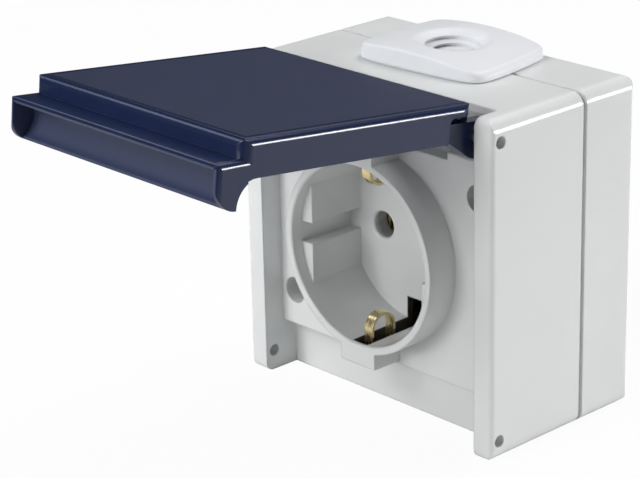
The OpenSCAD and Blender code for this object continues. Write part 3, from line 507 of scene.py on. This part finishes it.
# %% [markdown]
# ## Contact carrier
# The carrier behind the well is an insulating moulding. Through the pin holes it looks grey and through the earth
# slots black. The grey middle is made pale so that the deep bores don't go black, which is partly painted light, and
# the black beyond it is painted shade for the dark behind the earth slots. It could be cut into two pieces with two
# finishes, but it is one moulding, so its colour changes with the height above or below the middle instead.

# %% Contact carrier
GREY_TO, SHADE_BLACK_FROM = 6.5 * MM, 7.5 * MM

carrier_with_painted_light_and_shade, tree, shader, place = new_finish("carrier_with_painted_light_and_shade")
off_middle = worked_out(tree, "ABSOLUTE", add_node(tree, "SeparateXYZ", {0: place}).outputs["Z"])
carrier_painted_shade = spread(tree, off_middle, 0, 1, GREY_TO, SHADE_BLACK_FROM)
fill(tree, shader, {
    # Pale grey in the middle is partly painted light. Black beyond it is painted shade behind the earth slots.
    "Base Color": two_tones(tree, carrier_painted_shade, (0.450, 0.460, 0.455), (0.018, 0.018, 0.017)),
    "Roughness": patchy(tree, place, size_mm=1.2, low=0.40, high=0.55, detail=3),
    "Normal": grained(tree, cloud(tree, place, size_mm=0.4), depth_mm=0.01, edge_mm=0.2)})
print("made", carrier_with_painted_light_and_shade.name)

# %% [markdown]
# ## Dressing the CAD pieces
# Most solids already have the right shape, so they only take a finish. Each finish could be set piece by piece, but a
# table shows at a glance what is made of what. Each piece keeps one slot, and the finish goes into it.

# %% Dress the CAD pieces
DRESS = {
    housing_plastic_and_slot_shade: ["rear_box", "front_cover"],
    lid_plastic: ["lid"],
    pale_rubber: ["cable_grommet"],
    dark_rubber: ["lid_seal", "screw_seals"],
    grey_rubber_and_painted_light: ["cover_seal"],
    brass: ["contact_left", "contact_right", "earth_strap"],
    zinc_steel: ["contact_springs", "clamp_plates", "terminal_screws", "carrier_screws", "cover_screws",
                 "hinge_pin_left", "hinge_pin_right"],
    carrier_with_painted_light_and_shade: ["contact_carrier"],
}
for finish, names in DRESS.items():
    for name in names:
        slots = nodes[name].data.materials
        slots.clear()
        slots.append(finish)
print("dressed", sum(len(names) for names in DRESS.values()), "of", len(nodes))

# %% [markdown]
# ## Cable grommet
# The grommet is one soft moulding: a crowned pad with rounded shoulders, a stepped dish whose thin floor the cable
# pierces, and underneath a neck and a flange that snap into the box. It could be sculpted, but a single surface does
# it: a profile runs from the middle of the dish out over the pad, down its wall, in to the neck and back to the
# middle underneath. That profile is carried round the cable's axis, and on the way out it changes from a circle to
# the pad's outline. The first step turns such a grid of points into a closed mesh.

# %% Closed mesh from a grid


def closed_round(name, points):
    """Mesh of a grid whose rows run round an axis and whose first and last columns are single points on it."""
    turns, stations = points.shape[:2]
    inner = points[:, 1:-1].reshape(-1, 3)
    top, bottom = points[0, 0], points[0, -1]
    rows = stations - 2
    index = np.arange(turns * rows).reshape(turns, rows)
    after = np.roll(index, -1, 0)
    quads = np.stack([index[:, :-1], index[:, 1:], after[:, 1:], after[:, :-1]], -1).reshape(-1, 4)
    first = np.stack([np.full(turns, turns * rows), index[:, 0], after[:, 0]], -1)
    last = np.stack([np.full(turns, turns * rows + 1), after[:, -1], index[:, -1]], -1)
    faces = quads.tolist() + first.tolist() + last.tolist()
    mesh = bpy.data.meshes.new(name)
    mesh.from_pydata(np.vstack([inner, top, bottom]).tolist(), [], faces)
    mesh.polygons.foreach_set("use_smooth", np.ones(len(mesh.polygons), bool))
    return add_object(name, mesh)


print("made the grid helper")

# %% [markdown]
# ## Outline and crown of the pad
# Seen from above the pad is a rectangle with round corners whose sides and ends bow a little, and its top is crowned
# with the highest place off the middle. A plain rectangle with its corners cut round would look too exact, so the
# outline is a squarish oval with a high power, and the crown is two parabolas. From here to the finished grid, lengths
# are in millimetres.

# %% Outline and crown of the pad
PAD_HALF_W, PAD_HALF_D, PAD_TOP = 17.3, 13.4, 4.6
CROWN_W, CROWN_D, CROWN_AT = 1.7, 0.35, -3.0
CORNER_POWER, BACK_SHARPER = 12, 4
SIDE_BOW, SIDE_BOW_AT, END_BOW = 180, -6, 400
BOX_TOP = 37.0
RIM = BOX_TOP + PAD_TOP


def pad_outline(turn):
    """Outline of the pad: a squarish oval, sharper at the back. The sum of x and y over their half sizes, each to a
    high power, is one. Then x shrinks with the square of y's distance from a line in front of the middle, and y with
    the square of x, so the edges bow outwards."""
    c, s = np.cos(turn), np.sin(turn)
    power = CORNER_POWER + BACK_SHARPER * s
    reach = (np.abs(c / PAD_HALF_W) ** power + np.abs(s / PAD_HALF_D) ** power) ** (-1 / power)
    x, y = reach * c, reach * s
    narrower = 1 - (y - SIDE_BOW_AT) ** 2 / (SIDE_BOW * PAD_HALF_W)
    shallower = 1 - x ** 2 / (END_BOW * PAD_HALF_D)
    return x * narrower, y * shallower


def crown(x, y):
    """Height of the pad's top: its middle less two parabolas, one across the width and one across the depth."""
    across, along = (x - CROWN_AT) / PAD_HALF_W, y / PAD_HALF_D
    return RIM - CROWN_W * across ** 2 - CROWN_D * along ** 2


print("pad", 2 * PAD_HALF_W, "by", 2 * PAD_HALF_D, "mm, standing", PAD_TOP, "mm above the box")

# %% [markdown]
# ## Profiles of the dish and the underside
# The dish steps down twice to its thin floor, with a small round on each step, and flares out at the top. Underneath
# the neck passes the box's wall, the flange grips it from inside, and the middle is hollow. Both could be drawn as
# curves, but they are short lists of radius and height, with arcs and a power curve where they are round.

# %% Profiles of the dish and the underside
FLOOR_MID, FLOOR_R, FLOOR_DOWN = 2.4, 4.9, 3.2
LOW_LIP_R, LOW_LIP_DOWN, HIGH_LIP_R, HIGH_LIP_DOWN, LIP_ROUND = 4.6, 2.5, 6.4, 1.3, 0.15
STEP_R, STEP_DOWN = 6.65, 1.95
FLARE_R, FLARE_WIDTH, FLARE_DOWN, FLARE_POWER = 6.35, 2.5, 1.15, 1.7
NECK_R, NECK_DOWN, FLANGE_R, FLANGE_DOWN, FLANGE_FOOT = 11.0, 2.4, 12.6, 2.45, 3.95
HOLLOW_R, HOLLOW_UP = 9.0, 0.1


def arc(r, z, size, start, end, count=5):
    """Points of a small round in a profile: centre at r and z, from one angle to another, in degrees."""
    a = np.radians(np.linspace(start, end, count))
    return np.stack([r + size * np.cos(a), z + size * np.sin(a)], -1)


def dish_profile(flare_points=9):
    """Radius and height from the middle of the dish out to the pad: floor, lip, step, lip, and a flare whose depth
    falls off as a power of the way that is left."""
    way = np.linspace(0, 1, flare_points + 1)[1:]
    return np.vstack([
        [[0, RIM - FLOOR_DOWN], [FLOOR_MID, RIM - FLOOR_DOWN], [FLOOR_R, RIM - FLOOR_DOWN]],
        arc(LOW_LIP_R, RIM - LOW_LIP_DOWN, LIP_ROUND, 200, 100),
        [[STEP_R, RIM - STEP_DOWN]],
        arc(HIGH_LIP_R, RIM - HIGH_LIP_DOWN, LIP_ROUND, 200, 110),
        np.stack([FLARE_R + FLARE_WIDTH * way, RIM - FLARE_DOWN * (1 - way) ** FLARE_POWER], -1)])


def under_profile():
    """Radius and height from the pad's foot back to the middle underneath: neck, flange and hollow."""
    return np.array([
        [NECK_R, BOX_TOP], [NECK_R, BOX_TOP - NECK_DOWN],
        [FLANGE_R, BOX_TOP - FLANGE_DOWN], [FLANGE_R, BOX_TOP - FLANGE_FOOT],
        [HOLLOW_R, BOX_TOP - FLANGE_FOOT], [HOLLOW_R, BOX_TOP + HOLLOW_UP], [0, BOX_TOP + HOLLOW_UP]])


print("profiles of", len(dish_profile()), "and", len(under_profile()), "points")

# %% [markdown]
# ## Dish and underside carried round
# The dish and the underside are turned shapes, as if they came off a lathe. A Screw modifier could turn them, but the
# pad between them isn't round and all three share one grid, so their points are worked out here. The upper part of
# the dish also follows the pad's crown.

# %% Dish and underside carried round
FOLLOW_FROM, FOLLOW_OVER = 5, 3


def swept(turn, profile):
    """A profile carried round the axis: x and y are its radius times the cosine and the sine of the turn."""
    x, y = profile[:, 0] * np.cos(turn), profile[:, 0] * np.sin(turn)
    return x, y, np.broadcast_to(profile[:, 1], x.shape)


def dish_part(turn):
    """The dish: its profile is swept, then follows the crown, not at all at the floor and wholly at the flare."""
    profile = dish_profile()
    x, y, z = swept(turn, profile)
    follow = np.clip((profile[:, 0] - FOLLOW_FROM) / FOLLOW_OVER, 0, 1)
    return x, y, z + (crown(x, y) - RIM) * follow


print("the dish follows the crown from", FOLLOW_FROM, "to", FOLLOW_FROM + FOLLOW_OVER, "mm off its axis")

# %% [markdown]
# ## Pad
# From the dish the pad runs out to its outline, over a rounded shoulder that is fuller at its two ends, and down to
# the box. One end of the real pad lifts a little, so its foot rises there. A block with a Bevel modifier would have
# the same round everywhere, so the shoulder is worked out with its own size at each place.

# %% Pad
SHOULDER, END_SHOULDER, PAD_LIFT = 0.7, 1.0, 0.3


def pad_part(turn, start_x, start_y, top_points=21, round_points=11, wall_points=5):
    """The pad: a straight way from the dish to the inset outline, laid on the crown, a quarter round out to the
    outline, and a straight wall down to the foot. The round's size grows with the sixth power of x, and the foot
    rises with the cube of x towards one end."""
    edge_x, edge_y = pad_outline(turn)
    span = np.hypot(edge_x, edge_y)
    shoulder = SHOULDER + END_SHOULDER * (np.abs(edge_x) / PAD_HALF_W) ** 6
    inset = 1 - shoulder / span
    out = np.linspace(0, 1, top_points + 1)[None, 1:]
    top_x = start_x * (1 - out) + edge_x * inset * out
    top_y = start_y * (1 - out) + edge_y * inset * out
    bend = np.radians(np.linspace(90, 0, round_points + 1))[None, 1:]
    scale = inset + shoulder / span * np.cos(bend)
    round_z = crown(edge_x * inset, edge_y * inset) - shoulder * (1 - np.sin(bend))
    fall = np.linspace(0, 1, wall_points + 1)[None, 1:]
    foot_z = BOX_TOP + PAD_LIFT * np.clip(edge_x / PAD_HALF_W, 0, 1) ** 3
    wall_z = round_z[:, -1:] * (1 - fall) + foot_z * fall
    x = np.hstack([top_x, edge_x * scale, edge_x * np.ones_like(fall)])
    y = np.hstack([top_y, edge_y * scale, edge_y * np.ones_like(fall)])
    return x, y, np.hstack([crown(top_x, top_y), round_z, wall_z])


print("shoulder of", SHOULDER, "to", SHOULDER + END_SHOULDER, "mm, and a lift of", PAD_LIFT, "mm at one end")

# %% [markdown]
# ## Grommet surface
# The three parts are now joined into one grid and made a mesh. The real grommet sits a little askew, so the grid is
# turned by four degrees before it moves to the seam. The object could be turned instead, but with its place in its
# mesh the finish's noise stays where it is. It rides on the base, and it takes the place of the CAD's plain grommet.

# %% Grommet surface
PAD_TURN, SEAM_Y = math.radians(4.0), -15.5


def grommet_points(turns=360):
    """The grommet as a grid: turns round the axis by stations along the profile, set askew and moved to the seam."""
    turn = np.linspace(0, 2 * np.pi, turns, endpoint=False)[:, None]
    dish = dish_part(turn)
    pad = pad_part(turn, dish[0][:, -1:], dish[1][:, -1:])
    x, y, z = [np.hstack(parts) for parts in zip(dish, pad, swept(turn, under_profile()))]
    turned_x = x * math.cos(PAD_TURN) - y * math.sin(PAD_TURN)
    turned_y = x * math.sin(PAD_TURN) + y * math.cos(PAD_TURN)
    return np.stack([turned_x, turned_y + SEAM_Y, z], -1) * MM


grommet = closed_round("soft_grommet", grommet_points())
grommet.data.materials.append(pale_rubber)
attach(grommet, "base")
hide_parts("cable_grommet")
